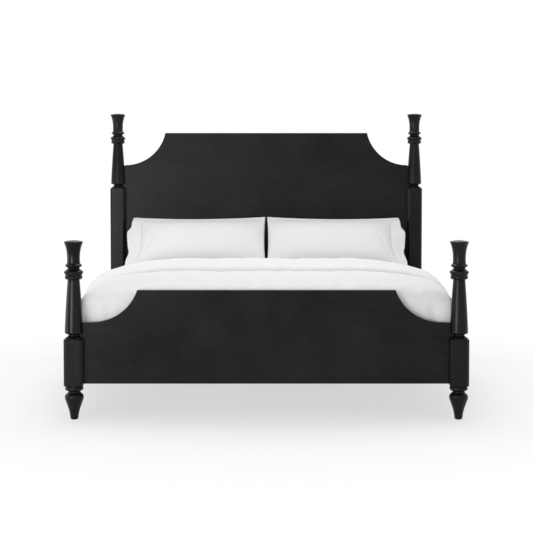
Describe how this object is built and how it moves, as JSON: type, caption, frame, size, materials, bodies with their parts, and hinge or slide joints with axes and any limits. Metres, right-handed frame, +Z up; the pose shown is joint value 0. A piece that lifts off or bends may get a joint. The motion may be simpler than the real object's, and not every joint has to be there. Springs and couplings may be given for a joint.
{
  "type": "panel bed",
  "caption": "King-size panel bed with turned posts and scooped head and foot panels painted black, a slatted base, and a mattress made up with a white duvet and leaning pillows.",
  "frame": {"origin": "on the floor, under the middle of the bed", "axes": "+Y towards the headboard, +X to the right for someone who stands at the footboard and looks at the headboard, +Z up"},
  "size_m": [2.2174, 2.25, 1.639],
  "materials": {
    "black_paint": "satin black paint over wood, with a faint grain",
    "pine": "planed, unfinished",
    "zinc_steel": "zinc plated",
    "nylon": "moulded, matt",
    "ticking": "knitted, matt",
    "duvet_cotton": "woven cotton, matt",
    "pillowcase_cotton": "woven cotton, matt"
  },
  "bodies": {
    "frame": {"foot_post_left": "black_paint", "foot_post_right": "black_paint", "head_post_left": "black_paint", "head_post_right": "black_paint", "footboard_panel": "black_paint", "headboard_panel": "black_paint", "side_rail_left": "black_paint", "side_rail_right": "black_paint", "slat_01": "pine", "slat_02": "pine", "slat_03": "pine", "slat_04": "pine", "slat_05": "pine", "slat_06": "pine", "slat_07": "pine", "slat_08": "pine", "slat_09": "pine", "slat_10": "pine", "slat_11": "pine", "slat_12": "pine", "slat_13": "pine", "slat_ledger_left": "pine", "slat_ledger_right": "pine", "centre_beam": "pine", "centre_leg_1": "pine", "centre_leg_2": "pine", "foot_hook_plate_left": "zinc_steel", "foot_hook_plate_right": "zinc_steel", "foot_slot_plate_left": "zinc_steel", "foot_slot_plate_right": "zinc_steel", "head_hook_plate_left": "zinc_steel", "head_hook_plate_right": "zinc_steel", "head_slot_plate_left": "zinc_steel", "head_slot_plate_right": "zinc_steel", "beam_hanger_foot": "zinc_steel", "beam_hanger_head": "zinc_steel", "foot_glide_left": "nylon", "foot_glide_right": "nylon", "head_glide_left": "nylon", "head_glide_right": "nylon"},
    "mattress": {"mattress": "ticking"},
    "duvet": {"duvet": "duvet_cotton"},
    "pillow_left": {"pillow_left": "pillowcase_cotton"},
    "pillow_right": {"pillow_right": "pillowcase_cotton"},
    "leveller_1": {"leveller_1": "zinc_steel"},
    "leveller_2": {"leveller_2": "zinc_steel"}
  },
  "joints": [
    {"name": "mattress_lift", "type": "slide", "parent": "frame", "child": "mattress", "axis": [0, 0, 1], "range_m": [0, 0.6]},
    {"name": "duvet_lift", "type": "slide", "parent": "mattress", "child": "duvet", "axis": [0, 0, 1], "range_m": [0, 0.62]},
    {"name": "pillow_left_lift", "type": "slide", "parent": "mattress", "child": "pillow_left", "axis": [0, 0, 1], "range_m": [0, 0.4]},
    {"name": "pillow_right_lift", "type": "slide", "parent": "mattress", "child": "pillow_right", "axis": [0, 0, 1], "range_m": [0, 0.4]},
    {"name": "leveller_1_screw", "type": "slide", "parent": "frame", "child": "leveller_1", "axis": [0, 0, 1], "range_m": [-0.012, 0]},
    {"name": "leveller_2_screw", "type": "slide", "parent": "frame", "child": "leveller_2", "axis": [0, 0, 1], "range_m": [-0.012, 0]}
  ]
}
